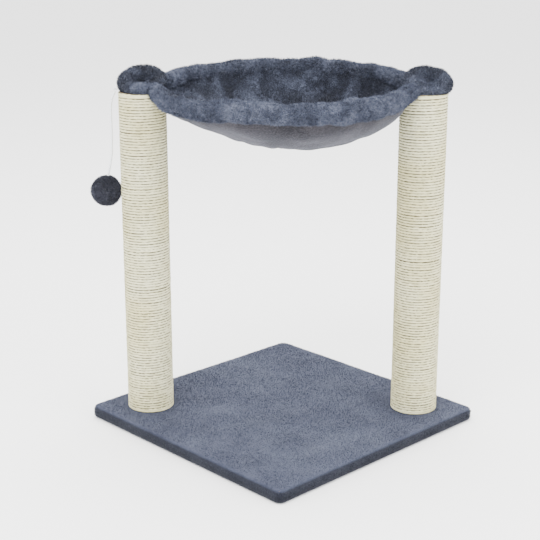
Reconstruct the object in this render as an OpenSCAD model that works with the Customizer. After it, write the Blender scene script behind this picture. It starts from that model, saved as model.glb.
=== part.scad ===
// Cat tree: square base, two wrapped posts on opposite corners, a round hammock, a hanging ball.
// Millimetres, +Z up, origin on the floor under the centre of the base.

/* [Base] */
// Side of the square base
base_w = 400; // [380:5:440]
// Height of the covered base
base_t = 20; // [19:0.5:24]
// Thickness of the board
board_t = 15; // [14:0.5:16]
// Radius of the padded edges and corners
base_round = 6; // [5:0.5:8]
// Thickness of the plush on the sides of the board
cover_wall = 3; // [2.5:0.5:4]
// Width of the hem that is folded under
hem_w = 28; // [20:1:32]

/* [Posts] */
// Distance from each edge of the base to a post's axis
post_inset = 62.5; // [60:0.5:66]
// Height of the post above the base
post_h = 466; // [400:1:560]
// Outer radius of the cardboard tube
tube_r = 29.5; // [28:0.5:31]
// Wall of the cardboard tube
tube_wall = 4; // [3:0.5:5]
// Thickness of the rope
rope_d = 4; // [3.5:0.5:5]
// Height of the wooden plugs in the tube's ends
plug_h = 22; // [20:1:30]

/* [Hammock] */
// Half the hoop's width, across the line between the posts
hoop_half_w = 155; // [145:1:160]
// Diameter of the steel rod
rod_d = 5; // [4.5:0.5:5.5]
// Radius of the eye on each post, to the middle of the rod
eye_r = 23.5; // [22:0.5:24]
// Tilt of the hoop, with the front edge down
hoop_tilt = 2.5; // [0:0.5:4]
// Depth of the dish below the hoop
dish_depth = 84; // [70:1:100]
// Width of the plush roll round the hoop
roll_w = 22; // [18:1:24]
// Height of the plush roll round the hoop
roll_h = 24; // [20:1:26]

/* [Toy] */
// Diameter of the ball
ball_d = 43.5; // [38:0.5:44]
// Diameter of the cord
cord_d = 3; // [2:0.2:3.4]
// How far the ball hangs behind the line through the posts
toy_turn = 6; // [0:1:12]

/* [Hidden] */
$fn = 64;

// Colours
plush_grey = [0.36, 0.39, 0.47];
plush_warm = [0.40, 0.38, 0.42];
plush_dark = [0.20, 0.20, 0.24];
rope_cream = [0.86, 0.84, 0.76];
steel = [0.70, 0.71, 0.73];
card_brown = [0.62, 0.50, 0.36];
wood_tan = [0.76, 0.63, 0.45];

// Clearances
gap = 0.3;       // between soft pieces
slip = 0.05;     // between a bolt and its thread

// Base
liner_t = 1;
board_z = 2.5;
board_w = base_w - 2 * cover_wall;
hem_inner_w = board_w - 2 * hem_w;
liner_w = board_w - 20;
bolt_r = 4;
bolt_hole_r = 4.5;
counterbore_r = 12;
counterbore_h = 7;
washer_t = 1.6;
bolt_head_h = 5.3;
bolt_head_r = 7.5;
bolt_head_z = board_z + counterbore_h - washer_t - bolt_head_h;
base_washer_r = 10;
base_washer_z = board_z + counterbore_h - washer_t;
base_bolt_l = 32;
access_r = 14;
staples_per_side = 6;
staple_w = 10;
staple_leg = 8;
staple_wire = 0.7;
staple_margin = 20;
staple_edge = 5;

// Posts
post_xy = base_w / 2 - post_inset;
post_u = post_xy * sqrt(2);
post_top = base_t + post_h;
tube_inner_r = tube_r - tube_wall;
rope_r = tube_r + rope_d;
insert_r = 6;
insert_h = 18;
nail_r = 0.8;
nail_tip_r = insert_r + 4;
rope_staple_w = 9;
rope_staple_leg = 7;
rope_staple_z = 6;

// Loops on the post tops
loop_r = 24;
loop_half_w = 12;
loop_half_h = 11;
loop_z = post_top + loop_half_h;
loop_outer_r = loop_r + loop_half_w;
eye_z = post_top + 5;
tab_w = 16;
tab_t = 3;
web_t = 2;
top_bolt_r = 3;
top_bolt_head_r = 5.5;
top_bolt_head_h = 4.4;
top_washer_r = 9;
top_washer_z = post_top + tab_t + web_t;
top_bolt_l = 26;
hex_socket_r = 2.3;
hex_socket_h = 2.5;

// Hoop: an oval of four arcs, in the plane of the line between the posts (u) and across it (v)
hoop_half_l = post_u - eye_r - 1.5;
hoop_z = post_top + 7;
end_arc_r = 140;
end_arc_u = hoop_half_l - end_arc_r;
end_arc_gap = hoop_half_w - end_arc_r;
side_arc_v = (pow(end_arc_u, 2) - pow(end_arc_gap, 2)) / (2 * end_arc_gap);
side_arc_r = hoop_half_w + side_arc_v;
arc_join = atan2(side_arc_v, end_arc_u);

// Dish
outer_t = 2;
lining_t = 4;
dish_rings = 8;
dish_sides = 48;
dish_drop = 3;
roll_sides = 12;
roll_stations = 72;

// Toy: the route is given as distance from the post's axis and height
ball_r = ball_d / 2;
ball_clear = 0.5;
pile_t = 5;
ball_out = rope_r + ball_r + ball_clear;
ball_z = 344;
knot_r = 3;
knot_out = 38;
knot_z = 488.5;
cord_sides = 8;
cord_steps = 3;
cord_route = [
    [38.6, 485.1], [40.4, 481.0], [43.0, 475.0], [44.6, 467.0], [45.2, 456.0], [45.2, 442.0],
    [45.2, 428.0], [45.4, 414.0], [46.0, 400.0], [47.6, 388.0], [49.8, 377.0], [52.6, 365.7]
];

// ---------- helpers ----------

// Puts its children at the left post (side -1) or the right post (side 1)
module at_post(side) {
    translate([side * post_xy, side * post_xy, 0]) children();
}

// Turns x and y into u and v
module along_posts() {
    rotate([0, 0, 45]) children();
}

// A ring of height h
module ring(outer, inner, h) {
    difference() {
        cylinder(r = outer, h = h);
        translate([0, 0, -1]) cylinder(r = inner, h = h + 2);
    }
}

// A square plate with round corners
module plate(w, r, h) {
    linear_extrude(height = h) {
        square([w - 2 * r, w], center = true);
        square([w, w - 2 * r], center = true);
        for (x = [-1, 1], y = [-1, 1]) translate([x * (w / 2 - r), y * (w / 2 - r)]) circle(r = r);
    }
}

// A plate whose top edge is rounded as well
module soft_slab(w, r, h) {
    plate(w, r, h - r);
    translate([0, 0, h / 2]) cube([w - 2 * r, w - 2 * r, h], center = true);
    for (turn = [0:90:270]) rotate([0, 0, turn]) {
        translate([w / 2 - r, w / 2 - r, h - r]) sphere(r = r);
        translate([w / 2 - r, w / 2 - r, h - r]) rotate([90, 0, 0]) cylinder(r = r, h = w - 2 * r);
    }
}

// A staple: a crown along x on z = 0, with its legs up
module staple(crown, leg, wire) {
    translate([-crown / 2, -wire / 2, 0]) cube([crown, wire, wire]);
    for (x = [-crown / 2, crown / 2 - wire]) translate([x, -wire / 2, 0]) cube([wire, wire, leg]);
}

// The oval at normal angle a, moved out by grow
function oval(a, grow = 0) =
    abs(sin(a)) < sin(arc_join)
    ? [sign(cos(a)) * end_arc_u + (end_arc_r + grow) * cos(a), (end_arc_r + grow) * sin(a)]
    : [(side_arc_r + grow) * cos(a), -sign(sin(a)) * side_arc_v + (side_arc_r + grow) * sin(a)];

function hoop_height(v) = hoop_z + v * tan(hoop_tilt);

// Rows of points joined into a closed skin. With loop, the last row meets the first
module skin(rows, loop = false) {
    n = len(rows[0]);
    m = len(rows);
    last = loop ? m - 1 : m - 2;
    sides = [for (i = [0:last], j = [0:n - 1], half = [0, 1])
        let (next = (j + 1) % n, row = ((i + 1) % m) * n)
        let (a = i * n + j, b = i * n + next, c = row + j, d = row + next)
        half == 0 ? [a, b, c] : [b, d, c]];
    ends = loop ? [] : [[for (j = [n - 1:-1:0]) j], [for (j = [0:n - 1]) (m - 1) * n + j]];
    polyhedron(points = [for (row = rows) each row], faces = concat(sides, ends));
}

// A roll of elliptical section along the hoop
module roll(half_w, half_h, sides, stations) {
    rows = [for (i = [0:stations - 1]) let (a = 360 * i / stations, p = oval(a))
        [for (j = [0:sides - 1]) let (b = 360 * j / sides, out = half_w * cos(b))
            [p.x + out * cos(a), p.y + out * sin(a), hoop_height(p.y) + half_h * sin(b)]]];
    skin(rows, loop = true);
}

// The steel rod's hoop
module hoop() {
    roll(rod_d / 2, rod_d / 2, roll_sides, roll_stations);
}

// The eye and its drilled tab, on one post's axis
module eye(rod_r, tab_h) {
    translate([0, 0, eye_z]) rotate_extrude() translate([eye_r, 0]) circle(r = rod_r, $fn = 32);
    translate([-tab_w / 2, -eye_r - 1, post_top]) cube([tab_w, 2 * eye_r + 2, tab_h]);
}

// One skin of the dish, from the hoop down: grow moves it out at the hoop, depth is its own depth
function dish_row(k, grow, depth, drop) =
    let (t = 90 * (1 - k / dish_rings), f = sin(t))
    [for (j = [0:dish_sides - 1]) let (p = oval(360 * j / dish_sides, grow) * f)
        [p.x, p.y, hoop_height(p.y) - drop - (depth - drop) * pow(cos(t), 1.1)]];

// A dish between an outer and an inner skin
module dish(grow, depth, t, drop) {
    n = dish_sides;
    outer = [for (k = [0:dish_rings - 1]) dish_row(k, grow, depth, drop)];
    inner = [for (k = [0:dish_rings - 1]) dish_row(k, grow - t, depth - t, drop)];
    points = [each [for (row = outer) each row], each [for (row = inner) each row],
        [0, 0, hoop_z - depth], [0, 0, hoop_z - depth + t]];
    half = dish_rings * n;
    pole = 2 * half;
    walls = [for (k = [0:dish_rings - 2], j = [0:n - 1], tri = [0:3])
        let (a = k * n + j, b = k * n + (j + 1) % n, c = a + n, d = b + n)
        tri == 0 ? [a, b, c] : tri == 1 ? [b, d, c]
        : tri == 2 ? [half + a, half + c, half + b] : [half + b, half + c, half + d]];
    low = (dish_rings - 1) * n;
    caps = [for (j = [0:n - 1], in = [0, 1]) let (a = low + j, b = low + (j + 1) % n)
        in == 0 ? [a, b, pole] : [half + b, half + a, pole + 1]];
    lip = [for (j = [0:n - 1], tri = [0, 1]) let (a = j, b = (j + 1) % n)
        tri == 0 ? [a, half + a, b] : [b, half + a, half + b]];
    polyhedron(points = points, faces = concat(walls, caps, lip));
}

// Puts its children at the left post with x pointing from its axis towards the toy
module toward_toy() {
    at_post(-1) rotate([0, 0, 225 - toy_turn]) children();
}

// ---------- base ----------

module base_board() {
    color(wood_tan) difference() {
        translate([0, 0, board_z]) plate(board_w, base_round - cover_wall, board_t);
        for (side = [-1, 1]) at_post(side) {
            cylinder(r = bolt_hole_r, h = base_t);
            cylinder(r = counterbore_r, h = board_z + counterbore_h);
        }
    }
}

module base_cover() {
    color(plush_grey) difference() {
        translate([0, 0, liner_t]) soft_slab(base_w, base_round, base_t - liner_t);
        translate([0, 0, board_z]) plate(board_w, base_round - cover_wall, board_t);
        translate([0, 0, board_z / 2]) cube([hem_inner_w, hem_inner_w, board_z + 0.2], center = true);
        for (side = [-1, 1]) at_post(side) {
            cylinder(r = bolt_hole_r, h = base_t + 1);
            cylinder(r = access_r, h = board_z + 0.1);
        }
    }
}

module base_liner() {
    color("dimgray") difference() {
        plate(liner_w, base_round, liner_t);
        for (side = [-1, 1]) at_post(side) translate([0, 0, -1])
            cylinder(r = access_r, h = liner_t + 2);
    }
}

module base_staples() {
    step = (liner_w - 2 * staple_margin) / (staples_per_side - 1);
    color(steel) for (turn = [0:90:270], i = [0:staples_per_side - 1])
        rotate([0, 0, turn])
            translate([staple_margin - liner_w / 2 + i * step, liner_w / 2 - staple_edge, 0.2])
                staple(staple_w, staple_leg, staple_wire);
}

module base_bolts() {
    color(steel) for (side = [-1, 1]) at_post(side) {
        translate([0, 0, bolt_head_z]) cylinder(r = bolt_head_r, h = bolt_head_h, $fn = 6);
        translate([0, 0, bolt_head_z + bolt_head_h - 0.01]) cylinder(r = bolt_r, h = base_bolt_l);
    }
}

module base_washers() {
    color(steel) for (side = [-1, 1]) at_post(side)
        translate([0, 0, base_washer_z]) ring(base_washer_r, bolt_r + 0.2, washer_t);
}

// ---------- posts ----------

module post_tube(side) {
    color(card_brown) at_post(side) translate([0, 0, base_t]) ring(tube_r, tube_inner_r, post_h);
}

module sisal_wrap(side) {
    color(rope_cream) at_post(side) translate([0, 0, base_t]) ring(rope_r, tube_r, post_h);
}

// A plug with a bore for its insert; the insert's face is at the plug's outer end
module plug(side, z) {
    color(wood_tan) at_post(side) translate([0, 0, z]) ring(tube_inner_r, insert_r, plug_h);
}

module threaded_inserts() {
    color("goldenrod") for (side = [-1, 1]) at_post(side) {
        translate([0, 0, base_t]) ring(insert_r, bolt_r + slip, insert_h);
        translate([0, 0, post_top - insert_h]) ring(insert_r, top_bolt_r + slip, insert_h);
    }
}

// Nails through the tube into the plugs, three to a plug
module plug_nails() {
    heights = [base_t + plug_h / 2, post_top - plug_h / 2];
    color(steel) for (side = [-1, 1], z = heights, turn = [0:120:240])
        at_post(side) translate([0, 0, z]) rotate([0, 90, turn])
            translate([0, 0, nail_tip_r]) cylinder(r = nail_r, h = tube_r - nail_tip_r, $fn = 16);
}

// Staples that hold the rope's ends, on the far side of each post
module rope_staples() {
    color(steel) for (side = [-1, 1], z = [base_t + rope_staple_z, post_top - rope_staple_z])
        at_post(side) rotate([0, 0, 135]) translate([rope_r, 0, z]) rotate([0, -90, 0])
            staple(rope_staple_w, rope_staple_leg, staple_wire);
}

// ---------- hammock ----------

module hammock_frame() {
    color("dimgray") along_posts() {
        hoop();
        for (side = [-1, 1]) translate([side * post_u, 0, 0]) difference() {
            eye(rod_d / 2, tab_t);
            translate([0, 0, post_top - 1]) cylinder(r = top_bolt_r + 0.3, h = tab_t + 2);
        }
    }
}

// A plush ring over an eye, with a web across its hole that the bolt clamps
module loop_sleeve(side) {
    flat = loop_half_w - loop_half_h;
    color(plush_grey) along_posts() difference() {
        translate([side * post_u, 0, 0]) {
            translate([0, 0, loop_z]) rotate_extrude() {
                for (r = [-1, 1]) translate([loop_r + r * flat, 0]) circle(r = loop_half_h);
                translate([loop_r, 0]) square([2 * flat, 2 * loop_half_h - 0.02], center = true);
            }
            translate([0, 0, post_top + tab_t]) cylinder(r = loop_r, h = web_t);
        }
        translate([side * post_u, 0, 0]) {
            eye(rod_d / 2 + 0.1, tab_t);
            cylinder(r = top_bolt_r + 0.3, h = 2 * post_top);
        }
        if (side < 0) rotate([0, 0, -45]) toward_toy()
            translate([knot_out, 0, knot_z]) sphere(r = knot_r + 1);
    }
}

module rim_sleeve() {
    color(plush_grey) along_posts() difference() {
        roll(roll_w / 2, roll_h / 2, roll_sides, roll_stations);
        for (side = [-1, 1]) translate([side * post_u, 0, post_top - 50])
            cylinder(r = loop_outer_r + gap, h = 100);
    }
}

module hammock_outer() {
    color(plush_warm) along_posts() dish(-roll_w / 2, dish_depth, outer_t, dish_drop);
}

module hammock_lining() {
    color(plush_grey) along_posts()
        dish(-roll_w / 2 - outer_t - gap, dish_depth - outer_t - gap, lining_t, dish_drop);
}

module hammock_bolts() {
    color(steel) for (side = [-1, 1]) at_post(side) translate([0, 0, top_washer_z + washer_t]) {
        difference() {
            cylinder(r = top_bolt_head_r, h = top_bolt_head_h);
            translate([0, 0, top_bolt_head_h - hex_socket_h])
                cylinder(r = hex_socket_r, h = hex_socket_h + 0.5, $fn = 6);
        }
        translate([0, 0, -top_bolt_l]) cylinder(r = top_bolt_r, h = top_bolt_l + 0.01);
    }
}

module hammock_washers() {
    color(steel) for (side = [-1, 1]) at_post(side)
        translate([0, 0, top_washer_z]) ring(top_washer_r, top_bolt_r + 0.2, washer_t);
}

// ---------- toy ----------

// A smooth point on the route, s from 0 to the last point's number
function route_at(s) =
    let (i = min(floor(s), len(cord_route) - 2), f = s - i,
        a = cord_route[max(i - 1, 0)], b = cord_route[i], c = cord_route[i + 1],
        d = cord_route[min(i + 2, len(cord_route) - 1)])
    0.5 * (2 * b + (c - a) * f + (2 * a - 5 * b + 4 * c - d) * pow(f, 2)
        + (3 * b - a - 3 * c + d) * pow(f, 3));

module toy_cord() {
    n = (len(cord_route) - 1) * cord_steps;
    line = [for (i = [0:n]) route_at(i / cord_steps)];
    rows = [for (i = [0:n])
        let (ahead = line[min(i + 1, n)] - line[max(i - 1, 0)], side = [-ahead.y, ahead.x] / norm(ahead))
        [for (j = [0:cord_sides - 1]) let (a = 360 * j / cord_sides, out = cord_d / 2 * cos(a))
            [line[i].x + out * side.x, cord_d / 2 * sin(a), line[i].y + out * side.y]]];
    color("white") toward_toy() skin(rows);
}

module cord_top_knot() {
    color("white") toward_toy() translate([knot_out, 0, knot_z]) sphere(r = knot_r);
}

module toy_ball_cover() {
    color(plush_dark) toward_toy() translate([ball_out, 0, ball_z]) difference() {
        sphere(r = ball_r);
        sphere(r = ball_r - pile_t);
    }
}

module toy_ball_core() {
    color("beige") toward_toy() translate([ball_out, 0, ball_z]) sphere(r = ball_r - pile_t - 0.01);
}

base_board();
base_cover();
base_liner();
base_staples();
post_tube(-1);  // left_post_tube
post_tube(1);  // right_post_tube
sisal_wrap(-1);  // left_sisal_wrap
sisal_wrap(1);  // right_sisal_wrap
plug(-1, base_t);  // left_bottom_plug
plug(1, base_t);  // right_bottom_plug
plug(-1, post_top - plug_h);  // left_top_plug
plug(1, post_top - plug_h);  // right_top_plug
threaded_inserts();
plug_nails();
rope_staples();
base_bolts();
base_washers();
hammock_bolts();
hammock_washers();
hammock_frame();
rim_sleeve();
loop_sleeve(-1);  // left_loop_sleeve
loop_sleeve(1);  // right_loop_sleeve
hammock_lining();
hammock_outer();
toy_cord();
cord_top_knot();
toy_ball_cover();
toy_ball_core();
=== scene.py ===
import math

import bpy
import numpy as np
from mathutils import Matrix, Vector, noise

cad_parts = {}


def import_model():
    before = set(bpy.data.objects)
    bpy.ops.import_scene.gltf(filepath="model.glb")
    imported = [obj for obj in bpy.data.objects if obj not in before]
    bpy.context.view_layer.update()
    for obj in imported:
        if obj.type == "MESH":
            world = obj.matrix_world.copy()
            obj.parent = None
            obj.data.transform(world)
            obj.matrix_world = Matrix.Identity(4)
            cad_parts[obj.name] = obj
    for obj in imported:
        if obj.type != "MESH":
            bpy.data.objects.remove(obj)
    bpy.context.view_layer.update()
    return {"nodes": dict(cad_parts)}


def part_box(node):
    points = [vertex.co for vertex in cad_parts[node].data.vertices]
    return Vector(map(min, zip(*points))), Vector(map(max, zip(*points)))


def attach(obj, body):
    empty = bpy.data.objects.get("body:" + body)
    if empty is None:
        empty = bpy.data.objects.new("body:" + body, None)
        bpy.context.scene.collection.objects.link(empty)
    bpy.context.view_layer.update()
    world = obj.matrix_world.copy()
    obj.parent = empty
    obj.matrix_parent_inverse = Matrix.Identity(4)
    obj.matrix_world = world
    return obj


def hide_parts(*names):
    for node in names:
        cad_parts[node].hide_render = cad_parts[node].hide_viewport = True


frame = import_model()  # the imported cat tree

# ---------------------------------------------------------------- places, from the frame
BASE_LOW, BASE_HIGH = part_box("base_cover")
BASE_W = BASE_HIGH[0] - BASE_LOW[0]
BASE_TOP = BASE_HIGH[2]
POST_LOW, POST_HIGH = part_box("right_sisal_wrap")
POST_XY = (POST_LOW[0] + POST_HIGH[0]) / 2
POST_R = (POST_HIGH[0] - POST_LOW[0]) / 2
POST_TOP = POST_HIGH[2]
POST_U = POST_XY * math.sqrt(2)
LOOP_Z = (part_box("left_loop_sleeve")[0][2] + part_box("left_loop_sleeve")[1][2]) / 2
BALL_LOW, BALL_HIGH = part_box("toy_ball_cover")
BALL_R = (BALL_HIGH[0] - BALL_LOW[0]) / 2
BALL = Vector([(a + b) / 2 for a, b in zip(BALL_LOW, BALL_HIGH)])
KNOT_LOW, KNOT_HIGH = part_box("cord_top_knot")
KNOT = Vector([(a + b) / 2 for a, b in zip(KNOT_LOW, KNOT_HIGH)])
KNOT_R = (KNOT_HIGH[0] - KNOT_LOW[0]) / 2

# The hoop's own measures, as in the design
TUBE_R = POST_R - 0.004
ROPE_PITCH = 0.0039
LOOP_R = 0.024
EYE_R = 0.0235
HOOP_HALF_W = 0.155
HOOP_HALF_L = POST_U - EYE_R - 0.0015
HOOP_Z = POST_TOP + 0.007
HOOP_TILT = math.radians(2.5)
END_ARC_R = 0.140
END_ARC_U = HOOP_HALF_L - END_ARC_R
SIDE_ARC_V = (END_ARC_U**2 - (HOOP_HALF_W - END_ARC_R) ** 2) / (2 * (HOOP_HALF_W - END_ARC_R))
SIDE_ARC_R = HOOP_HALF_W + SIDE_ARC_V
ARC_JOIN = math.atan2(SIDE_ARC_V, END_ARC_U)
DISH_DEPTH = 0.084
HEM_R = 0.0045  # the hem's radius round the rod
RING_R = 0.0112  # the plush ring's own radius
ROLL_R = 0.0105  # the front and rear rolls' radius
ROPE_R = 0.002
ROPE_UV, ROPE_UV_WIDE = 8, 0.06  # the rope's UV units a metre, and its width in them
RIGHT_LOOP_OUT = 0.005  # the right loop was pulled outwards when it was bolted down
DIAGONAL = Matrix.Rotation(math.radians(45), 3, "Z")  # u along the posts, v across them


def scene_camera():
    """The camera stands off the near corner, a little above the hammock."""
    azimuth, elevation = math.radians(46.1), math.radians(16.5)
    distance, lens_mm = 1.781, 82.6
    aim_height, aim_left = 0.2295, 0.0177
    level = math.cos(elevation)
    back = Vector((math.sin(azimuth) * level, -math.cos(azimuth) * level, math.sin(elevation)))
    right = Vector((math.cos(azimuth), math.sin(azimuth), 0))
    target = Vector((0, 0, aim_height)) - aim_left * right
    data = bpy.data.cameras.new("camera")
    data.sensor_width = 36
    data.lens = lens_mm
    data.clip_end = 50
    camera = bpy.data.objects.new("camera", data)
    bpy.context.collection.objects.link(camera)
    camera.location = target + back * distance
    camera.rotation_euler = back.to_track_quat("Z", "Y").to_euler()
    bpy.context.scene.camera = camera


# ---------------------------------------------------------------- mesh helpers
def deselect():
    """Leaves edit mode and selects nothing."""
    if bpy.context.object and bpy.context.object.mode != "OBJECT":
        bpy.ops.object.mode_set(mode="OBJECT")
    bpy.ops.object.select_all(action="DESELECT")


def named(name):
    """The primitive just added, under its own name."""
    obj = bpy.context.object
    obj.name = name
    obj.data.name = name
    return obj


def pick(obj):
    """Selects this object alone."""
    deselect()
    obj.select_set(True)
    bpy.context.view_layer.objects.active = obj


def linked(name, data):
    """A new object in the scene."""
    obj = bpy.data.objects.new(name, data)
    bpy.context.collection.objects.link(obj)
    return obj


def apply_all(obj):
    """Applies the modifiers and the place, so that the object is at the origin, unturned and unscaled."""
    pick(obj)
    for modifier in list(obj.modifiers):
        bpy.ops.object.modifier_apply(modifier=modifier.name)
    bpy.ops.object.transform_apply(location=True, rotation=True, scale=True)


def shaped(obj, rule):
    """Moves each vertex to where rule says."""
    for vertex in obj.data.vertices:
        vertex.co = rule(vertex.co)
    obj.data.update()


def smooth(obj):
    """Shades an object without facets."""
    for face in obj.data.polygons:
        face.use_smooth = True


def from_rows(name, rows, closed=False, loop=False, caps=True):
    """A skin over rows of points. closed joins each row's ends, loop joins the last row to the first."""
    n, m = len(rows[0]), len(rows)
    faces = []
    for i in range(m if loop else m - 1):
        for j in range(n if closed else n - 1):
            k, p = (j + 1) % n, (i + 1) % m
            faces.append((i * n + j, i * n + k, p * n + k, p * n + j))
    if closed and caps and not loop:
        faces.append(tuple(range(n))[::-1])
        faces.append(tuple((m - 1) * n + j for j in range(n)))
    mesh = bpy.data.meshes.new(name)
    mesh.from_pydata([tuple(p) for row in rows for p in row], [], faces)
    mesh.update()
    obj = linked(name, mesh)
    smooth(obj)
    return obj


def outward(obj):
    """Turns the faces of a closed skin outwards."""
    pick(obj)
    bpy.ops.object.mode_set(mode="EDIT")
    bpy.ops.mesh.select_all(action="SELECT")
    bpy.ops.mesh.normals_make_consistent(inside=False)
    bpy.ops.object.mode_set(mode="OBJECT")


def stuffed(obj, voxel, pressure, cap):
    """Fills a sleeve by cloth simulation, so that its cloth wrinkles, and moves no point past cap."""
    last_frame = 20
    pick(obj)
    remesh = obj.modifiers.new("remesh", "REMESH")
    remesh.mode = "VOXEL"
    remesh.voxel_size = voxel
    apply_all(obj)
    start = [vertex.co.copy() for vertex in obj.data.vertices]
    cloth = obj.modifiers.new("cloth", "CLOTH")
    cloth.settings.use_pressure = True
    cloth.settings.uniform_pressure_force = pressure
    cloth.settings.effector_weights.gravity = 0
    cloth.settings.quality = 6
    cloth.settings.mass = 0.15
    cloth.settings.shrink_min = -0.06  # the cloth is cut 6 % too big, and gathers
    cloth.point_cache.frame_start = 1
    cloth.point_cache.frame_end = last_frame
    for number in range(1, last_frame + 1):
        bpy.context.scene.frame_set(number)
    apply_all(obj)
    bpy.context.scene.frame_set(1)
    for vertex, first in zip(obj.data.vertices, start):
        move = vertex.co - first
        if move.length > cap:
            vertex.co = first + move.normalized() * cap
    finer = obj.modifiers.new("finer", "SUBSURF")
    finer.levels = finer.render_levels = 1
    apply_all(obj)
    smooth(obj)


def lumps(point, size, seed):
    """Smooth bumps about size across, between -1 and 1."""
    return noise.noise(Vector(point) / size + Vector((seed, seed * 0.7, -seed)))


def world(u, v, z):
    return DIAGONAL @ Vector((u, v, z))


# ---------------------------------------------------------------- materials
# Noise scales are patterns per metre: 22 gives patches of about 45 mm, and 700 specks of about 1.4 mm
WHITE = (1, 1, 1, 1)


def srgb(code):
    """A hex colour as the renderer's linear one."""
    values = [int(code[i:i + 2], 16) / 255 for i in (1, 3, 5)]
    return (*[v / 12.92 if v <= 0.04045 else ((v + 0.055) / 1.055) ** 2.4 for v in values], 1)


def add(tree, kind, settings=(), inputs=(), stops=()):
    """A node with its settings, its inputs set or linked from a socket, and its colour stops."""
    made = tree.nodes.new(kind)
    for count, (place, colour) in enumerate(stops):
        elements = made.color_ramp.elements
        element = elements[count] if count < len(elements) else elements.new(place)
        element.position = place
        element.color = srgb(colour)
    for key, value in dict(settings).items():
        setattr(made, key, value)
    for key, value in dict(inputs).items():
        if isinstance(value, bpy.types.NodeSocket):
            tree.links.new(value, made.inputs[key])
        else:
            made.inputs[key].default_value = value
    return made


def started(name):
    """A new material: its tree, its shader, and the Object coordinates."""
    material = bpy.data.materials.new(name)
    material.use_nodes = True
    tree = material.node_tree
    shader = tree.nodes["Principled BSDF"]
    coords = add(tree, "ShaderNodeTexCoord")
    return material, tree, shader, coords


def dressed(tree, shader, colour, height, strength, deep, rough):
    """Gives a shader its colour, its roughness and a relief this many metres deep."""
    tree.links.new(colour, shader.inputs["Base Color"])
    bump = add(tree, "ShaderNodeBump", {}, {"Height": height, "Strength": strength, "Distance": deep})
    tree.links.new(bump.outputs["Normal"], shader.inputs["Normal"])
    shader.inputs["Roughness"].default_value = rough


def plush(name, dark, mid, light, nap, spread, speck=700, sheen=0.4, side_z=None):
    """Knitted polyester plush: soft, dull pile whose lie shows as lighter and darker patches. nap is the
    patches per metre and speck the pile's specks. Below side_z the colour gets painted shade, darkest low
    down, with a painted highlight in a band just under side_z."""
    material, tree, shader, coords = started(name)
    place = coords.outputs["Object"]
    lie = add(tree, "ShaderNodeTexNoise", {}, {"Vector": place, "Scale": nap, "Detail": 3, "Distortion": 0.6})
    fine = add(tree, "ShaderNodeTexNoise", {}, {"Vector": place, "Scale": speck, "Detail": 2})
    mixed = add(tree, "ShaderNodeMix", {"data_type": "FLOAT"},
                {"Factor": 0.5, "A": lie.outputs["Fac"], "B": fine.outputs["Fac"]})
    colour = add(tree, "ShaderNodeValToRGB", {}, {"Fac": mixed.outputs["Result"]},
                 [(0.5 - spread, dark), (0.5, mid), (0.5 + spread, light)]).outputs["Color"]
    if side_z is not None:
        # Painted shade on the sides, darker towards the floor, and a painted highlight along the top edge
        parts = add(tree, "ShaderNodeSeparateXYZ", {}, {"Vector": place})
        height = add(tree, "ShaderNodeMapRange", {},
                     {"Value": parts.outputs["Z"], "From Min": 0.0, "From Max": side_z})
        shade = add(tree, "ShaderNodeValToRGB", {}, {"Fac": height.outputs["Result"]},
                    [(0.35, "#68686c"), (0.78, "#86868a"), (0.93, "#ffffff"), (1.0, "#f0f0f0")])
        colour = add(tree, "ShaderNodeMix", {"data_type": "RGBA", "blend_type": "MULTIPLY"},
                     {"Factor": 1.0, "A": colour, "B": shade.outputs["Color"]}).outputs["Result"]
    dressed(tree, shader, colour, fine.outputs["Fac"], strength=0.5, deep=0.002, rough=0.95)
    shader.inputs["Specular IOR Level"].default_value = 0.2
    shader.inputs["Sheen Weight"].default_value = sheen
    shader.inputs["Sheen Roughness"].default_value = 0.45
    shader.inputs["Sheen Tint"].default_value = srgb("#b3b8c9")
    return material


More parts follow.
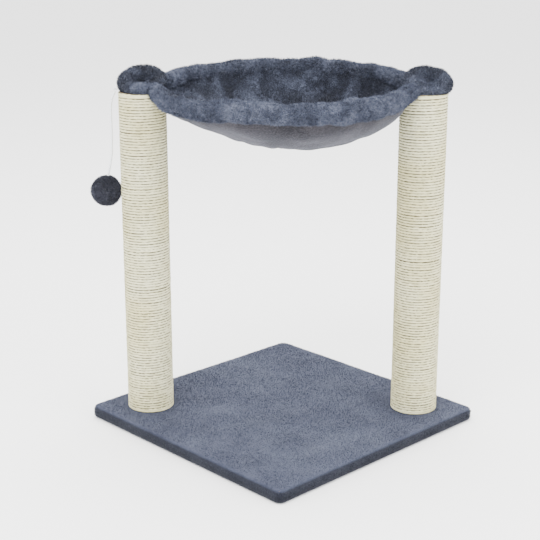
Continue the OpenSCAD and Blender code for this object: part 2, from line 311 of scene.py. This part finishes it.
def sisal():
    """Bleached sisal rope: pale, stiff and dry, with painted shade in broken dashes along the grooves between
    its turns. The twist shows every 1.9 mm of rope with painted shade between its strands, its fibres are
    about 10 mm long and 0.7 mm wide, and its tone drifts over
    70 mm. Along the rope, the UV map counts ROPE_UV units a metre."""
    material, tree, shader, coords = started("bleached sisal rope")
    place, along = coords.outputs["Object"], coords.outputs["UV"]
    multiply = {"data_type": "RGBA", "blend_type": "MULTIPLY"}
    strands = add(tree, "ShaderNodeTexWave", {"wave_type": "BANDS", "bands_direction": "DIAGONAL"},
                  {"Vector": along, "Scale": 42, "Distortion": 1.2, "Detail": 2, "Detail Scale": 3})
    stretch = add(tree, "ShaderNodeMapping", {}, {"Vector": place, "Scale": (60, 60, 900)})
    fibres = add(tree, "ShaderNodeTexNoise", {},
                 {"Vector": stretch.outputs["Vector"], "Scale": 1.6, "Detail": 3})
    wide = add(tree, "ShaderNodeTexNoise", {}, {"Vector": place, "Scale": 14, "Detail": 3})
    base = add(tree, "ShaderNodeValToRGB", {}, {"Fac": fibres.outputs["Fac"]},
               [(0.27, "#a8a386"), (0.42, "#d8d6bb"), (0.7, "#edebd6")])
    tone = add(tree, "ShaderNodeValToRGB", {}, {"Fac": wide.outputs["Fac"]},
               [(0.35, "#ece7ca"), (0.65, "#fbfaee")])
    shade = add(tree, "ShaderNodeValToRGB", {}, {"Fac": strands.outputs["Fac"]},
                [(0.0, "#d9d5c6"), (0.5, "#ffffff")])
    toned = add(tree, "ShaderNodeMix", multiply,
                {"Factor": 1.0, "A": base.outputs["Color"], "B": tone.outputs["Color"]})
    shaded = add(tree, "ShaderNodeMix", multiply,
                 {"Factor": 0.8, "A": toned.outputs["Result"], "B": shade.outputs["Color"]})
    across = add(tree, "ShaderNodeSeparateXYZ", {}, {"Vector": along})
    off = add(tree, "ShaderNodeMath", {"operation": "SUBTRACT"},
              {0: across.outputs["Y"], 1: ROPE_UV_WIDE / 2})
    edge = add(tree, "ShaderNodeMath", {"operation": "ABSOLUTE"}, {0: off.outputs["Value"]})
    # Painted shade in the grooves between the rope's turns, broken into dashes by noise
    groove = add(tree, "ShaderNodeMapRange", {},
                 {"Value": edge.outputs["Value"], "From Min": 0.010, "From Max": 0.017})
    gaps = add(tree, "ShaderNodeTexNoise", {}, {"Vector": along, "Scale": 26, "Detail": 2})
    broken = add(tree, "ShaderNodeMapRange", {},
                 {"Value": gaps.outputs["Fac"], "From Min": 0.43, "From Max": 0.52})
    groove_shade = add(tree, "ShaderNodeMath", {"operation": "MULTIPLY"},
                {0: groove.outputs["Result"], 1: broken.outputs["Result"]})
    groove_shaded = add(tree, "ShaderNodeMix", {"data_type": "RGBA"},
                  {"Factor": groove_shade.outputs["Value"], "A": shaded.outputs["Result"], "B": srgb("#5c5740")})
    dressed(tree, shader, groove_shaded.outputs["Result"], strands.outputs["Fac"],
            strength=0.5, deep=0.0008, rough=0.85)
    return material


def grained(name, dark, light, scale, rough, stretch=(1, 1, 1), deep=0.0002, metal=0.0):
    """A solid stuff with a fine grain: particle board with its chips, smooth card, dull zinc or foam, by its
    colours and by the grains per metre: 260 are chips of 4 mm, and 700 are fibres of 1.4 mm."""
    material, tree, shader, coords = started(name)
    turned = add(tree, "ShaderNodeMapping", {}, {"Vector": coords.outputs["Object"], "Scale": stretch})
    grain = add(tree, "ShaderNodeTexNoise", {},
                {"Vector": turned.outputs["Vector"], "Scale": scale, "Detail": 4})
    colour = add(tree, "ShaderNodeValToRGB", {}, {"Fac": grain.outputs["Fac"]}, [(0.35, dark), (0.65, light)])
    dressed(tree, shader, colour.outputs["Color"], grain.outputs["Fac"], strength=0.3, deep=deep, rough=rough)
    shader.inputs["Metallic"].default_value = metal
    return material


def braid():
    """Braided polyester cord: clean white yarns whose crossing shows about every 4 mm."""
    material, tree, shader, coords = started("braided polyester cord")
    weave = add(tree, "ShaderNodeTexWave", {"bands_direction": "DIAGONAL"},
                {"Vector": coords.outputs["Object"], "Scale": 160, "Distortion": 1})
    colour = add(tree, "ShaderNodeValToRGB", {}, {"Fac": weave.outputs["Fac"]},
                 [(0.0, "#b4bbc6"), (0.5, "#f4f6f8")])
    dressed(tree, shader, colour.outputs["Color"], weave.outputs["Fac"], strength=0.4, deep=0.0003, rough=0.7)
    return material


# ---------------------------------------------------------------- pile
def pile(surface, name, count, length, width, seed, spread, only=None):
    """Tufts of pile over a surface, each one pointed blade that leans with its neighbours."""
    lie_size, unruly, rooted = 0.035, 0.35, 0.15
    mesh = surface.data
    mesh.calc_loop_triangles()
    points = np.array([v.co for v in mesh.vertices])
    corners = np.array([t.vertices for t in mesh.loop_triangles])
    normals = np.array([t.normal for t in mesh.loop_triangles])
    areas = np.array([t.area for t in mesh.loop_triangles])
    if only is not None:
        centres = points[corners].mean(1)
        keep = only(centres, normals)
        corners, normals, areas = corners[keep], normals[keep], areas[keep]
    rng = np.random.default_rng(seed)
    picked = rng.choice(len(areas), count, p=areas / areas.sum())
    a, b = rng.random(count), rng.random(count)
    flip = a + b > 1
    a[flip], b[flip] = 1 - a[flip], 1 - b[flip]
    p, q, r = (points[corners[picked, i]] for i in range(3))
    root = p + (q - p) * a[:, None] + (r - p) * b[:, None]
    up = normals[picked]
    lean = np.array([noise.noise_vector(Vector(x) / lie_size) for x in root])
    heading = up + spread * lean + unruly * rng.normal(size=(count, 3))
    heading /= np.linalg.norm(heading, axis=1)[:, None]
    side = np.cross(heading, rng.normal(size=(count, 3)))
    side /= np.linalg.norm(side, axis=1)[:, None]
    tall = length * rng.uniform(0.6, 1.15, count)[:, None]
    low = root - up * length * rooted
    blades = np.stack([low - side * width / 2, low + side * width / 2, root + heading * tall], 1)
    made = bpy.data.meshes.new(name)
    made.from_pydata(blades.reshape(-1, 3).tolist(), [], np.arange(count * 3).reshape(-1, 3).tolist())
    made.update()
    return linked(name, made)


# ---------------------------------------------------------------- toy
TOY_DIR = Vector((KNOT.x + POST_XY, KNOT.y + POST_XY, 0)).normalized()
CORD_R = 0.0015
# Distance from the post's axis and height, as in the design
CORD_ROUTE = [
    (0.0386, 0.4851), (0.0404, 0.4810), (0.0430, 0.4750), (0.0446, 0.4670),
    (0.0452, 0.4560), (0.0452, 0.4420), (0.0452, 0.4280), (0.0454, 0.4140),
    (0.0460, 0.4000), (0.0476, 0.3880), (0.0498, 0.3770), (0.0526, 0.3657),
]


def smooth_route(route, steps):
    """Points along a curve through the route's points."""
    pts = [np.array(p) for p in route]
    out = []
    for i in range(len(pts) - 1):
        a, b, c, d = pts[max(i - 1, 0)], pts[i], pts[i + 1], pts[min(i + 2, len(pts) - 1)]
        slope, bend, turn = c - a, 2 * a - 5 * b + 4 * c - d, 3 * b - a - 3 * c + d
        for k in range(steps):
            f = k / steps
            out.append(0.5 * (2 * b + slope * f + bend * f**2 + turn * f**3))
    return out + [pts[-1]]


def toy_place(out, z):
    """A point of the cord, this far out from the left post's axis."""
    return Vector((-POST_XY, -POST_XY, 0)) + TOY_DIR * out + Vector((0, 0, z))


def toy_cord(material):
    """The cord, the point where it leaves its knot, and its length."""
    line = [toy_place(*p) for p in smooth_route(CORD_ROUTE, 4)]
    data = bpy.data.curves.new("toy_cord_line", "CURVE")
    data.dimensions = "3D"
    spline = data.splines.new("POLY")
    spline.points.add(len(line) - 1)
    for point, place in zip(spline.points, line):
        point.co = (*place, 1)
    data.bevel_depth = CORD_R
    data.bevel_resolution = 3
    data.use_fill_caps = True
    data.materials.append(material)
    cord = linked("toy_cord_line", data)
    length = sum((b - a).length for a, b in zip(line, line[1:]))
    return cord, line[0], length


def overhand_knot(centre, radius, thick, material):
    """A small overhand knot: a trefoil of cord with this half thickness."""
    steps = 60
    points = []
    for i in range(steps):
        t = 2 * math.pi * i / steps
        x, y = math.sin(t) + 2 * math.sin(2 * t), math.cos(t) - 2 * math.cos(2 * t)
        points.append(centre + radius * Vector((x, y, -math.sin(3 * t))) / 3)
    rows = []
    for i, p in enumerate(points):
        ahead = (points[(i + 1) % steps] - points[i - 1]).normalized()
        side = ahead.cross(Vector((0.3, 0.2, 1))).normalized()
        rise = ahead.cross(side)
        rows.append([p + thick * (math.cos(b) * side + math.sin(b) * rise)
                     for b in np.linspace(0, 2 * math.pi, 8, endpoint=False)])
    knot = from_rows("cord_knot", rows, closed=True, loop=True)
    outward(knot)
    knot.data.materials.append(material)
    return knot


def toy_ball(material):
    """The ball's cloth and its pile, which stands out to the ball's full size."""
    deselect()
    bpy.ops.mesh.primitive_ico_sphere_add(subdivisions=5, radius=BALL_R - 0.003, location=BALL)
    ball = named("plush_ball")
    apply_all(ball)
    shaped(ball, lambda p: BALL + (p - BALL) * (1 + 0.05 * lumps(p, 0.012, 3) + 0.025 * lumps(p, 0.004, 5)))
    smooth(ball)
    ball.data.materials.append(material)
    fur = pile(ball, "ball_pile", count=26000, length=0.0042, width=0.0009, seed=11, spread=0.6)
    fur.data.materials.append(material)
    return ball, fur


# ---------------------------------------------------------------- posts
def rope_wrap(side, seed):
    """One rope wound round a post, turn against turn."""
    steps, start = 72, 2.2  # points a turn, and the angle where the rope starts
    drift, sway, swell, tall = 40, 0.00018, 0.06, 1.02  # how the rope wanders and thickens along its length
    total = round((POST_TOP - BASE_TOP) / ROPE_PITCH) * steps
    rng = np.random.default_rng(seed)
    places = np.arange(0, total + drift, drift)
    wobble = np.interp(np.arange(total), places, rng.normal(size=len(places)))
    angles = np.radians([100, 62, 30, 0, -30, -62, -100])  # the rope's outer side; the tube hides the rest
    pts, uvs = [], []
    low, high = BASE_TOP + 0.0002 + ROPE_R, POST_TOP - 0.0002 - ROPE_R
    for i in range(total + 1):
        a = 2 * math.pi * i / steps + start
        # The first and the last turn lie flat, so that the rope covers the tube's ends
        rise = low + (high - low) * (i - steps) / (total - 2 * steps) + sway * wobble[min(i, total - 1)]
        z = min(max(rise, low), high)
        grow = ROPE_R * (1 + swell * wobble[min(i + 7, total - 1)])
        for b in angles:
            r = TUBE_R + ROPE_R + grow * math.cos(b)
            x, y = side * POST_XY + r * math.cos(a), side * POST_XY + r * math.sin(a)
            pts.append((x, y, z + grow * tall * math.sin(b)))
        uvs.append(i / steps * 2 * math.pi * POST_R)
    n = len(angles)
    faces = []
    for i in range(total):
        for j in range(n - 1):
            faces.append((i * n + j, (i + 1) * n + j, (i + 1) * n + j + 1, i * n + j + 1))
    mesh = bpy.data.meshes.new("rope")
    mesh.from_pydata(pts, [], faces)
    layer = mesh.uv_layers.new(name="rope")
    index = np.array([v for f in faces for v in f])
    row, col = index // n, index % n
    coords = np.stack([np.array(uvs)[row] * ROPE_UV, col / (n - 1) * ROPE_UV_WIDE], 1)
    layer.data.foreach_set("uv", coords.ravel())
    mesh.update()
    rope = linked("left_rope" if side < 0 else "right_rope", mesh)
    smooth(rope)
    return rope


# ---------------------------------------------------------------- base
def plush_slab(material):
    """The base cover as a sheet: rows run from the hem, round the edge and over the top."""
    half = BASE_W / 2 + 0.0004
    board_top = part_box("base_board")[1][2]
    low, top = 0.0011, BASE_TOP - 0.0001
    foot_r, edge_r, corner_r = 0.003, 0.0060, 0.0095
    per_side = 90
    profile = [(half - hem, low) for hem in (0.028, 0.016, 0.006)]
    profile += [(half - foot_r + foot_r * math.sin(t), low + foot_r - foot_r * math.cos(t))
                for t in np.radians([20, 45, 70, 90])]
    profile += [(half, z) for z in np.linspace(low + 0.0045, top - edge_r - 0.0008, 4)]
    profile += [(half - edge_r + edge_r * math.cos(t), top - edge_r + edge_r * math.sin(t))
                for t in np.radians([15, 30, 45, 60, 75, 90])]
    profile += [(x, top) for x in half - edge_r - np.array([0.004, 0.009, 0.015, 0.022, 0.03, 0.04])]
    rows = []
    for reach, z in profile:
        corner = max(0.0035, corner_r - max(0.0, half - reach) * 0.15)
        row = []
        for side in range(4):
            turn = Matrix.Rotation(side * math.pi / 2, 3, "Z")
            for k in range(per_side):
                s = -1 + 2 * k / per_side
                x, y = reach, s * reach
                over = abs(y) - (reach - corner)
                if over > 0:
                    angle = over / corner * math.pi / 4
                    x = reach - corner + corner * math.cos(angle)
                    y = math.copysign(reach - corner + corner * math.sin(angle), y)
                row.append(turn @ Vector((x, y, z)))
        rows.append(row)
    inner = profile[-1][0]
    cover = from_rows("base_plush", rows, closed=True, caps=False)
    deselect()
    bpy.ops.mesh.primitive_grid_add(x_subdivisions=per_side, y_subdivisions=per_side, size=2 * inner,
                                    location=(0, 0, top))
    centre = named("base_plush_top")
    apply_all(centre)
    deselect()
    centre.select_set(True)
    cover.select_set(True)
    bpy.context.view_layer.objects.active = cover
    bpy.ops.object.join()
    bpy.ops.object.mode_set(mode="EDIT")
    bpy.ops.mesh.select_all(action="SELECT")
    bpy.ops.mesh.remove_doubles(threshold=0.0012)
    bpy.ops.mesh.normals_make_consistent(inside=False)
    bpy.ops.object.mode_set(mode="OBJECT")

    def pulled(p):
        """Shallow pull wrinkles near the edges, and a flat top where the posts stand."""
        up = Vector((0, 0, 1))
        edge = max(abs(p.x), abs(p.y)) / half
        near_post = min((p - Vector((s * POST_XY, s * POST_XY, p.z))).length for s in (-1, 1))
        calm = min(1.0, max(0.0, (near_post - POST_R) / 0.02))  # 0 at a post, 1 from 20 mm off it
        swell = 0.0010 * lumps((p.x, p.y, 0), 0.045, 2) + 0.0005 * lumps((p.x, p.y, 0), 0.014, 4)
        top_side = max(0.0, min(1.0, (p.z - 0.010) / 0.008))
        pull = 0.0008 * lumps((p.x, p.y, p.z * 0.4), 0.022, 7) * max(0.0, edge - 0.8) / 0.2
        out = Vector((p.x / half, p.y / half, 0)) if edge > 0.97 else Vector((0, 0, 0))
        moved = p + up * (swell * calm - 0.0006 * calm) * top_side
        if p.z > 0.003:  # not the hem
            moved += up * min(0, pull) * top_side * calm - out * abs(pull) * 0.8
        if p.z > board_top:
            moved.z = max(moved.z, board_top + 0.0007)
        return moved

    shaped(cover, pulled)
    smooth(cover)
    cover.data.materials.append(material)
    return cover


# ---------------------------------------------------------------- hammock
def oval(a, grow=0.0):
    """The hoop at normal angle a, moved out by grow."""
    c, s = math.cos(a), math.sin(a)
    if abs(s) < math.sin(ARC_JOIN):
        return math.copysign(END_ARC_U, c) + (END_ARC_R + grow) * c, (END_ARC_R + grow) * s
    return (SIDE_ARC_R + grow) * c, -math.copysign(SIDE_ARC_V, s) + (SIDE_ARC_R + grow) * s


def hoop_height(v):
    return HOOP_Z + v * math.tan(HOOP_TILT)


# The front roll along u: how far its middle hangs below the hoop, and half its height
FRONT_U = (-0.166, -0.145, -0.100, -0.058, 0.0, 0.084, 0.121, 0.152, 0.166)
FRONT_DROP = (0.0048, 0.0104, 0.0080, 0.0040, 0.0070, 0.0065, 0.0074, 0.0052, 0.0012)
FRONT_HALF = (0.0102, 0.0102, 0.0120, 0.0138, 0.0102, 0.0140, 0.0127, 0.0115, 0.0092)


def roll_line(side):
    """The middle of the front (side -1) or back (side 1) roll: (u, v, z, half width, half height)."""
    # Beside the rings: how far the roll is outside a ring, its height above the posts and its fall from there
    outside, start, drop = (0.004, 0.0070, 0.003) if side < 0 else (0.0, 0.0185, 0.008)
    first, span = 112, 70
    ends = []
    for end in (-1, 1):
        part = []
        for around, size in ((first, 0.004), (95, 0.0058), (78, 0.007), (60, 0.0080), (first - span, 0.0092)):
            t = math.radians(around)
            u = end * (POST_U - LOOP_R * math.cos(t)) + max(0, end) * RIGHT_LOOP_OUT
            v = side * (LOOP_R + outside) * math.sin(t)
            part.append((u, v, POST_TOP + start - (first - around) / span * drop, size, size))
        ends.append(part)
    middle = []
    for degrees in range(162, 17, -4):
        a = math.radians(degrees)
        u, v = oval(a)
        v = side * abs(v)
        if side < 0:
            half = np.interp(u, FRONT_U, FRONT_HALF)
            z = hoop_height(v) - np.interp(u, FRONT_U, FRONT_DROP)
            middle.append((u, v, z, ROLL_R + 0.15 * (half - ROLL_R), half))
        else:  # the lining stands up in a crest, a little right of the middle
            crest = math.exp(-((u - 0.045) / 0.010) ** 2)
            z = hoop_height(v) + 0.0005 + 0.0050 * crest + 0.0025 * max(0.0, u / HOOP_HALF_L)
            middle.append((u, v, z, ROLL_R - 0.002 * crest, 0.0095 + 0.001 * math.sin(a)))
    return ends[0] + middle + ends[1][::-1]


def rim_roll(name, side, material):
    """Half of the plush roll: a stuffed sleeve that gathers along the hoop."""
    line = smooth_route(roll_line(side), 8)
    rows = []
    count = 36
    for i, p in enumerate(line):
        ahead = line[min(i + 1, len(line) - 1)][:2] - line[max(i - 1, 0)][:2]
        ahead = ahead / np.linalg.norm(ahead)
        out = np.array([ahead[1], -ahead[0]])
        row = []
        for j in range(count):
            b = 2 * math.pi * j / count
            u, v = p[:2] + out * p[3] * math.cos(b)
            row.append(world(u, v, p[2] + (p[4] - 0.0008) * math.sin(b)))
        rows.append(row)
    roll = from_rows(name, rows, closed=True)
    outward(roll)
    stuffed(roll, voxel=0.003, pressure=4, cap=0.004)
    # Gathers of 13 mm and folds of 14 to 20 mm across the roll
    normals = [v.normal.copy() for v in roll.data.vertices]
    for vertex, normal in zip(roll.data.vertices, normals):
        p = vertex.co
        q = DIAGONAL.inverted() @ p
        gather = noise.noise(Vector((q.x / 0.013, q.y / 0.03, q.z / 0.03)) + Vector((side, 0, 5)))
        folds = abs(noise.noise(Vector((q.x / 0.020, q.y / 0.045, q.z / 0.014)) + Vector((side * 3, 2, 1))))
        vertex.co = p + normal * (0.0020 * lumps(p, 0.032, 1.7 + side) + 0.0010 * gather
                                  + 0.0028 * (folds - 0.22) + 0.0004 * lumps(p, 0.006, 9))
    roll.data.update()
    roll.data.materials.append(material)
    return roll


def loop_ring(name, side, material):
    """The plush ring on a post's top."""
    deselect()
    centre = world(side * POST_U + max(0, side) * RIGHT_LOOP_OUT, 0, LOOP_Z)
    bpy.ops.mesh.primitive_torus_add(major_radius=LOOP_R, minor_radius=RING_R, major_segments=96,
                                     minor_segments=32, location=centre)
    ring = named(name)
    apply_all(ring)
    floor = POST_TOP + 0.0004

    def pressed(p):
        """Thin and low in front, thick and high at the back."""
        away = p - centre
        away.z = 0
        grow = 0.0016 * lumps(p, 0.016, side * 3) + 0.0006 * lumps(p, 0.005, 2)
        mid = centre + away.normalized() * LOOP_R
        back = (DIAGONAL.inverted() @ away).y / LOOP_R  # -1 at the front, 1 at the back
        plump = 0.78 + 0.13 * back
        middle_z = LOOP_Z + 0.0015 + 0.0075 * back
        q = mid + (p - mid) * (plump + grow / RING_R)
        if p.z < mid.z:  # the under side rests on the post
            q.z = middle_z - (middle_z - floor) * (mid.z - p.z) / RING_R
        else:
            q.z += middle_z - mid.z
        return q

    shaped(ring, pressed)
    smooth(ring)
    ring.data.materials.append(material)
    return ring


def loop_web(name, side, material):
    """The cloth across a ring's hole, held down by the bolt's washer."""
    centre = world(side * POST_U, 0, 0)
    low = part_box("hammock_washers")[0][2]
    deselect()
    bpy.ops.mesh.primitive_circle_add(vertices=64, radius=LOOP_R - 0.002, fill_type="TRIFAN",
                                      location=(centre.x, centre.y, low))
    web = named(name)
    apply_all(web)
    bpy.ops.object.mode_set(mode="EDIT")
    bpy.ops.mesh.subdivide(number_cuts=5)
    bpy.ops.object.mode_set(mode="OBJECT")

    def dimpled(p):
        """Flat under the washer, and rising towards the ring."""
        washer_r, clear = 0.0095, 0.0003
        away = (Vector((p.x, p.y, 0)) - centre).length
        rough = 0.0006 * lumps(p, 0.004, 6) if away > washer_r + clear else 0
        return Vector((p.x, p.y, low - 0.0001 + max(0.0, away - washer_r) * 0.45 + rough))

    shaped(web, dimpled)
    smooth(web)
    web.data.materials.append(material)
    return web


def dish_point(a, t, inner):
    """A point of the dish: a round the hoop, t from 0 at the bottom to 1 at the hoop."""
    # The cloth passes inside the rod, and spreads over the posts at both ends
    grow = -0.003 - (0.003 if inner else 0.0) + 0.011 * abs(math.cos(a)) ** 10
    u, v = oval(a, grow)
    f = math.sin(t * math.pi / 2)
    depth = DISH_DEPTH - (0.0058 if inner else 0.0022)
    fall = math.cos(t * math.pi / 2)
    lean = 0.010 * fall  # the lowest point is a little off the middle
    left = max(0.0, -math.cos(a))
    shallow = 1 - 0.17 * left * math.sin(math.pi * t) ** 2
    z = hoop_height(v * f) - 0.004 - (depth - 0.004) * fall**1.05 * shallow
    return Vector((u * f + lean, v * f, z))


def dish(name, inner, material):
    """One cloth of the dish, from its middle up to the rolls."""
    around, up = 128, 44
    rows = []
    for i in range(1, up + 1):
        rows.append([dish_point(2 * math.pi * j / around, i / up, inner) for j in range(around)])
    if inner:  # the lining's hem wraps over the hoop's rod
        for b in np.radians([165, 130, 95, 60, 25, -10]):
            row = []
            for j in range(around):
                u, v = oval(2 * math.pi * j / around, HEM_R * math.cos(b))
                row.append(Vector((u, v, hoop_height(v) + HEM_R * math.sin(b))))
            rows.append(row)
    cloth = from_rows(name, rows, closed=True, caps=False)
    pick(cloth)
    for vertex in cloth.data.vertices:
        vertex.select = vertex.index < around
    bpy.ops.object.mode_set(mode="EDIT")
    bpy.ops.mesh.select_mode(type="VERT")
    bpy.ops.object.mode_set(mode="OBJECT")
    for edge in cloth.data.edges:
        edge.select = all(i < around for i in edge.vertices)
    bpy.ops.object.mode_set(mode="EDIT")
    bpy.ops.mesh.fill_grid()
    bpy.ops.object.mode_set(mode="OBJECT")
    seed = 4 if inner else 8

    def folded(p):
        """Pleats at the rim, creases on the slope, soft folds in the middle, and rest on the posts."""
        a = math.atan2(p.y, p.x)
        rim = min(1.0, math.hypot(p.x / HOOP_HALF_L, p.y / HOOP_HALF_W))
        end = abs(math.cos(a)) ** 6
        pleat = noise.noise(Vector((a * 5.5, rim * 1.2, seed))) * (0.0035 + 0.004 * end) * rim**3
        soft = 0.0080 * lumps(p, 0.055, seed) * (1 - rim**4)
        sharp = 0.25 - abs(noise.noise(Vector((a * 3.5, rim * 4, seed + 3))))
        crease = 0.0120 * sharp * math.sin(math.pi * min(1, rim))
        down = 0.35 + 0.65 * (1 - rim)
        shift = (soft + crease) * down + pleat
        if inner:  # the hem stays on its rod, and the lining stays off the back cloth
            shift = 0.0 if p.z > hoop_height(p.y) - 0.0038 else max(shift, -0.0008)
        else:
            shift = min(0.6 * shift, 0.0016)
        q = Vector((p.x * (1 - shift * 1.5), p.y * (1 - shift * 1.5), p.z + shift))
        past = math.hypot(abs(q.x) - POST_U, q.y) - POST_R - 0.002  # how far off the post's edge
        rest = POST_TOP + (0.0022 if inner else 0.0008) - 2.5 * max(0.0, past)
        q.z = max(q.z, rest)
        return q

    shaped(cloth, folded)
    shaped(cloth, lambda p: DIAGONAL @ p)
    if sum(face.normal.z for face in cloth.data.polygons) * (1 if inner else -1) < 0:
        cloth.data.flip_normals()
    smooth(cloth)
    cloth.data.materials.append(material)
    return cloth


# ---------------------------------------------------------------- stage
def studio():
    """A pale floor, a white sky and three soft lights."""
    sky_power, aim = 2.9, Vector((0, 0, 0.25))
    deselect()
    bpy.ops.mesh.primitive_plane_add(size=30, location=(0, 0, 0))
    floor = named("floor")
    material, _, shader, _ = started("studio floor")
    shader.inputs["Base Color"].default_value = srgb("#fbfbfb")
    shader.inputs["Roughness"].default_value = 0.9
    floor.data.materials.append(material)
    sky = bpy.data.worlds.new("studio")
    sky.use_nodes = True
    background = sky.node_tree.nodes["Background"]
    background.inputs["Color"].default_value = WHITE
    background.inputs["Strength"].default_value = sky_power
    bpy.context.scene.world = sky
    lights = (("key", (0.6, -1.6, 2.4), 1.6, 98), ("fill", (2.2, 0.4, 1.6), 1.6, 42),
              ("top", (-0.4, 0.5, 2.6), 1.8, 74))
    for name, place, metres, watts in lights:
        data = bpy.data.lights.new(name, "AREA")
        data.size = metres
        data.energy = watts
        light = linked(name, data)
        light.location = place
        light.rotation_euler = (Vector(place) - aim).to_track_quat("Z", "Y").to_euler()


# ---------------------------------------------------------------- build
scene_camera()
studio()

CORD = braid()
GREY = plush("grey polyester plush", "#222632", "#3f4454", "#636878", nap=30, spread=0.11)
GREY_PILE = plush("grey plush pile", "#252936", "#444959", "#656a7a", speck=240, nap=30, spread=0.13)
# side_z=BASE_TOP paints shade down the base's sides and a highlight along its top edge
BASE_GREY = plush("grey base plush", "#2b2e3d", "#383c4c", "#474c5b", sheen=0.28, nap=11, spread=0.20,
                  side_z=BASE_TOP)
# A darker copy of the grey plush: painted shade for the inside of the dish, the rear roll, the rings and the
# cloth in their pits
SHADED_GREY = plush("grey plush darkened as painted shade", "#14161d", "#222530", "#4a4f5e", nap=26, spread=0.12)
BACK = plush("brushed plush back", "#19181c", "#2b292d", "#3f3d43", speck=500, sheen=0.3, nap=16, spread=0.12)
DARK = plush("dark plush", "#1d1d24", "#30313a", "#4b4c58", speck=300, sheen=0.35, nap=22, spread=0.14)
ROPE = sisal()
ZINC = grained("zinc-plated steel", "#8b8e93", "#b9bcc1", 300, 0.35, metal=1.0, deep=0.00005)
BLACK_STEEL = grained("powder-coated steel", "#17181b", "#26272b", 500, 0.5, deep=0.00005)
CARD = grained("kraft card", "#8f7350", "#b1926a", 120, 0.9, stretch=(1, 1, 6))
CHIPBOARD = grained("particle board", "#a5845a", "#d0b285", 260, 0.85)
NONWOVEN = grained("black non-woven sheet", "#1f2022", "#35363a", 700, 0.95)
FOAM = grained("cream foam", "#cdbf9f", "#e9dfc6", 500, 0.95)

for cad_name, material in {
    "base_board": CHIPBOARD, "base_liner": NONWOVEN, "base_staples": ZINC, "left_post_tube": CARD,
    "right_post_tube": CARD, "left_bottom_plug": CHIPBOARD, "right_bottom_plug": CHIPBOARD,
    "left_top_plug": CHIPBOARD, "right_top_plug": CHIPBOARD, "threaded_inserts": ZINC, "plug_nails": ZINC,
    "rope_staples": ZINC, "base_bolts": ZINC, "base_washers": ZINC, "hammock_bolts": ZINC,
    "hammock_washers": ZINC, "hammock_frame": BLACK_STEEL, "toy_ball_core": FOAM,
}.items():
    cad = frame["nodes"][cad_name]
    cad.data.materials.clear()
    cad.data.materials.append(material)

# Toy
cord, cord_exit, cord_length = toy_cord(CORD)
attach(cord, "toy")
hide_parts("toy_cord")
ball, ball_fur = toy_ball(DARK)
for piece in (ball, ball_fur):
    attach(piece, "toy")
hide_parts("toy_ball_cover")
knot = overhand_knot(KNOT, KNOT_R * 0.75, 0.0009, CORD)
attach(knot, "cord_top")
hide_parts("cord_top_knot")

# Posts
for side, wrap in ((-1, "left_sisal_wrap"), (1, "right_sisal_wrap")):
    rope = rope_wrap(side, 20 + side)
    rope.data.materials.append(ROPE)
    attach(rope, "tree")
    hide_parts(wrap)

# Base
cover = plush_slab(BASE_GREY)
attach(cover, "tree")
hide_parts("base_cover")
cover_pile = pile(cover, "base_pile", count=110000, length=0.0019, width=0.0006, seed=31, spread=1.1,
                  only=lambda c, n: (c[:, 2] > 0.004)
                  & (np.hypot(c[:, 0] - POST_XY, c[:, 1] - POST_XY) > POST_R - 0.002)
                  & (np.hypot(c[:, 0] + POST_XY, c[:, 1] + POST_XY) > POST_R - 0.002))
cover_pile.data.materials.append(BASE_GREY)
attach(cover_pile, "tree")

# Hammock
outer = dish("hammock_back_cloth", False, BACK)
# The lining takes the darker plush as painted shade inside the dish
inner = dish("hammock_lining_cloth", True, SHADED_GREY)
for cloth, cad_name, slot_name in ((outer, "hammock_outer", "plush_warm"),
                                   (inner, "hammock_lining", "plush_grey")):
    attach(cloth, "tree")
    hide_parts(cad_name)
front = rim_roll("front_rim_roll", -1, GREY)
# The rear roll's darker plush is painted shade on its inner face
rear = rim_roll("rear_rim_roll", 1, SHADED_GREY)
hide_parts("rim_sleeve")
# The rings take the darker plush as painted shade round their pits
rings = [loop_ring("left_loop_ring", -1, SHADED_GREY), loop_ring("right_loop_ring", 1, SHADED_GREY)]
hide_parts("left_loop_sleeve")
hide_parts("right_loop_sleeve")
# The cloth in the rings' holes takes the darker plush as painted shade in the pits
webs = [loop_web("left_loop_web", -1, SHADED_GREY), loop_web("right_loop_web", 1, SHADED_GREY)]
for piece in [front, rear] + rings + webs:
    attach(piece, "tree")
furry = ((front, 60000, 0.0042), (rear, 45000, 0.0038), (rings[0], 14000, 0.0036), (rings[1], 14000, 0.0036))
for number, (piece, count, length) in enumerate(furry):
    fur = pile(piece, piece.name + "_pile", count, length, width=0.0008, seed=40 + number, spread=0.8)
    fur.data.materials.append(SHADED_GREY if piece in rings else GREY_PILE)
    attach(fur, "tree")
# The lining's pile takes the darker plush as painted shade inside the dish
inner_fur = pile(inner, "hammock_lining_pile", count=80000, length=0.004, width=0.0009, seed=50, spread=0.9)
inner_fur.data.materials.append(SHADED_GREY)
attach(inner_fur, "tree")
